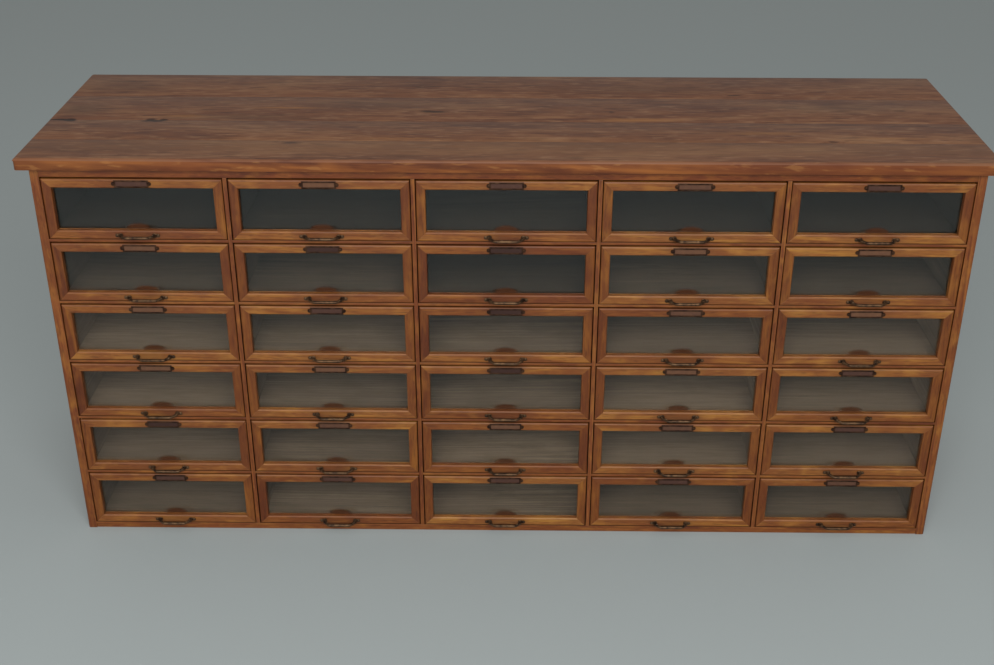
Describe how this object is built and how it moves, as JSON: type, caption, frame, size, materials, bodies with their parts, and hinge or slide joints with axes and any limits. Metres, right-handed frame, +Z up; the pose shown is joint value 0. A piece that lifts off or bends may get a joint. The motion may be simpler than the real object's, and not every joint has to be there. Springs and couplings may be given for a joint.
{
  "type": "haberdashery cabinet",
  "caption": "Floor-standing oak shop cabinet: a grid of glazed, mitred drawers with bow handles and card holders in an egg-crate carcass under a board counter top.",
  "frame": {"origin": "on the floor, at the middle of the carcass plan", "axes": "+X to the right seen from the front, +Y from front to back, +Z up"},
  "size_m": [2.083, 0.609, 0.9575],
  "materials": {
    "oak_top": "worn waxed oak",
    "oak_carcass": "old waxed oak",
    "oak_drawer": "waxed oak, satin",
    "oak_inner": "unfinished oak, dusty",
    "window_glass": "clear, old",
    "bronze": "patinated bronze",
    "steel_screws": "blackened"
  },
  "bodies": {
    "carcass": {"side_left": "oak_carcass", "side_right": "oak_carcass", "bottom_board": "oak_carcass", "shelf_1": "oak_carcass", "shelf_2": "oak_carcass", "shelf_3": "oak_carcass", "shelf_4": "oak_carcass", "shelf_5": "oak_carcass", "divider_1": "oak_carcass", "divider_2": "oak_carcass", "divider_3": "oak_carcass", "divider_4": "oak_carcass", "top_rail_front": "oak_carcass", "top_rail_back": "oak_carcass", "top_glue_blocks": "oak_inner", "base_rail_front": "oak_carcass", "base_rail_middle": "oak_inner", "base_rail_back": "oak_carcass", "back_board_1": "oak_inner", "back_board_2": "oak_inner", "back_board_3": "oak_inner", "back_board_4": "oak_inner", "back_board_5": "oak_inner", "top_board_1": "oak_top", "top_board_2": "oak_top", "top_board_3": "oak_top", "top_board_4": "oak_top", "drawer_stops": "oak_inner"},
    "drawer_r1_c1": {"drawer_r1_c1": "oak_drawer"},
    "drawer_r1_c2": {"drawer_r1_c2": "oak_drawer"},
    "drawer_r1_c3": {"drawer_r1_c3": "oak_drawer"},
    "drawer_r1_c4": {"drawer_r1_c4": "oak_drawer"},
    "drawer_r1_c5": {"drawer_r1_c5": "oak_drawer"},
    "drawer_r2_c1": {"drawer_r2_c1": "oak_drawer"},
    "drawer_r2_c2": {"drawer_r2_c2": "oak_drawer"},
    "drawer_r2_c3": {"drawer_r2_c3": "oak_drawer"},
    "drawer_r2_c4": {"drawer_r2_c4": "oak_drawer"},
    "drawer_r2_c5": {"drawer_r2_c5": "oak_drawer"},
    "drawer_r3_c1": {"drawer_r3_c1": "oak_drawer"},
    "drawer_r3_c2": {"drawer_r3_c2": "oak_drawer"},
    "drawer_r3_c3": {"drawer_r3_c3": "oak_drawer"},
    "drawer_r3_c4": {"drawer_r3_c4": "oak_drawer"},
    "drawer_r3_c5": {"drawer_r3_c5": "oak_drawer"},
    "drawer_r4_c1": {"drawer_r4_c1": "oak_drawer"},
    "drawer_r4_c2": {"drawer_r4_c2": "oak_drawer"},
    "drawer_r4_c3": {"drawer_r4_c3": "oak_drawer"},
    "drawer_r4_c4": {"drawer_r4_c4": "oak_drawer"},
    "drawer_r4_c5": {"drawer_r4_c5": "oak_drawer"},
    "drawer_r5_c1": {"drawer_r5_c1": "oak_drawer"},
    "drawer_r5_c2": {"drawer_r5_c2": "oak_drawer"},
    "drawer_r5_c3": {"drawer_r5_c3": "oak_drawer"},
    "drawer_r5_c4": {"drawer_r5_c4": "oak_drawer"},
    "drawer_r5_c5": {"drawer_r5_c5": "oak_drawer"},
    "drawer_r6_c1": {"drawer_r6_c1": "oak_drawer"},
    "drawer_r6_c2": {"drawer_r6_c2": "oak_drawer"},
    "drawer_r6_c3": {"drawer_r6_c3": "oak_drawer"},
    "drawer_r6_c4": {"drawer_r6_c4": "oak_drawer"},
    "drawer_r6_c5": {"drawer_r6_c5": "oak_drawer"}
  },
  "joints": [
    {"name": "drawer_r1_c1_slide", "type": "slide", "parent": "carcass", "child": "drawer_r1_c1", "axis": [0, -1, 0], "range_m": [0, 0.4]},
    {"name": "drawer_r1_c2_slide", "type": "slide", "parent": "carcass", "child": "drawer_r1_c2", "axis": [0, -1, 0], "range_m": [0, 0.4]},
    {"name": "drawer_r1_c3_slide", "type": "slide", "parent": "carcass", "child": "drawer_r1_c3", "axis": [0, -1, 0], "range_m": [0, 0.4]},
    {"name": "drawer_r1_c4_slide", "type": "slide", "parent": "carcass", "child": "drawer_r1_c4", "axis": [0, -1, 0], "range_m": [0, 0.4]},
    {"name": "drawer_r1_c5_slide", "type": "slide", "parent": "carcass", "child": "drawer_r1_c5", "axis": [0, -1, 0], "range_m": [0, 0.4]},
    {"name": "drawer_r2_c1_slide", "type": "slide", "parent": "carcass", "child": "drawer_r2_c1", "axis": [0, -1, 0], "range_m": [0, 0.4]},
    {"name": "drawer_r2_c2_slide", "type": "slide", "parent": "carcass", "child": "drawer_r2_c2", "axis": [0, -1, 0], "range_m": [0, 0.4]},
    {"name": "drawer_r2_c3_slide", "type": "slide", "parent": "carcass", "child": "drawer_r2_c3", "axis": [0, -1, 0], "range_m": [0, 0.4]},
    {"name": "drawer_r2_c4_slide", "type": "slide", "parent": "carcass", "child": "drawer_r2_c4", "axis": [0, -1, 0], "range_m": [0, 0.4]},
    {"name": "drawer_r2_c5_slide", "type": "slide", "parent": "carcass", "child": "drawer_r2_c5", "axis": [0, -1, 0], "range_m": [0, 0.4]},
    {"name": "drawer_r3_c1_slide", "type": "slide", "parent": "carcass", "child": "drawer_r3_c1", "axis": [0, -1, 0], "range_m": [0, 0.4]},
    {"name": "drawer_r3_c2_slide", "type": "slide", "parent": "carcass", "child": "drawer_r3_c2", "axis": [0, -1, 0], "range_m": [0, 0.4]},
    {"name": "drawer_r3_c3_slide", "type": "slide", "parent": "carcass", "child": "drawer_r3_c3", "axis": [0, -1, 0], "range_m": [0, 0.4]},
    {"name": "drawer_r3_c4_slide", "type": "slide", "parent": "carcass", "child": "drawer_r3_c4", "axis": [0, -1, 0], "range_m": [0, 0.4]},
    {"name": "drawer_r3_c5_slide", "type": "slide", "parent": "carcass", "child": "drawer_r3_c5", "axis": [0, -1, 0], "range_m": [0, 0.4]},
    {"name": "drawer_r4_c1_slide", "type": "slide", "parent": "carcass", "child": "drawer_r4_c1", "axis": [0, -1, 0], "range_m": [0, 0.4]},
    {"name": "drawer_r4_c2_slide", "type": "slide", "parent": "carcass", "child": "drawer_r4_c2", "axis": [0, -1, 0], "range_m": [0, 0.4]},
    {"name": "drawer_r4_c3_slide", "type": "slide", "parent": "carcass", "child": "drawer_r4_c3", "axis": [0, -1, 0], "range_m": [0, 0.4]},
    {"name": "drawer_r4_c4_slide", "type": "slide", "parent": "carcass", "child": "drawer_r4_c4", "axis": [0, -1, 0], "range_m": [0, 0.4]},
    {"name": "drawer_r4_c5_slide", "type": "slide", "parent": "carcass", "child": "drawer_r4_c5", "axis": [0, -1, 0], "range_m": [0, 0.4]},
    {"name": "drawer_r5_c1_slide", "type": "slide", "parent": "carcass", "child": "drawer_r5_c1", "axis": [0, -1, 0], "range_m": [0, 0.4]},
    {"name": "drawer_r5_c2_slide", "type": "slide", "parent": "carcass", "child": "drawer_r5_c2", "axis": [0, -1, 0], "range_m": [0, 0.4]},
    {"name": "drawer_r5_c3_slide", "type": "slide", "parent": "carcass", "child": "drawer_r5_c3", "axis": [0, -1, 0], "range_m": [0, 0.4]},
    {"name": "drawer_r5_c4_slide", "type": "slide", "parent": "carcass", "child": "drawer_r5_c4", "axis": [0, -1, 0], "range_m": [0, 0.4]},
    {"name": "drawer_r5_c5_slide", "type": "slide", "parent": "carcass", "child": "drawer_r5_c5", "axis": [0, -1, 0], "range_m": [0, 0.4]},
    {"name": "drawer_r6_c1_slide", "type": "slide", "parent": "carcass", "child": "drawer_r6_c1", "axis": [0, -1, 0], "range_m": [0, 0.4]},
    {"name": "drawer_r6_c2_slide", "type": "slide", "parent": "carcass", "child": "drawer_r6_c2", "axis": [0, -1, 0], "range_m": [0, 0.4]},
    {"name": "drawer_r6_c3_slide", "type": "slide", "parent": "carcass", "child": "drawer_r6_c3", "axis": [0, -1, 0], "range_m": [0, 0.4]},
    {"name": "drawer_r6_c4_slide", "type": "slide", "parent": "carcass", "child": "drawer_r6_c4", "axis": [0, -1, 0], "range_m": [0, 0.4]},
    {"name": "drawer_r6_c5_slide", "type": "slide", "parent": "carcass", "child": "drawer_r6_c5", "axis": [0, -1, 0], "range_m": [0, 0.4]}
  ]
}
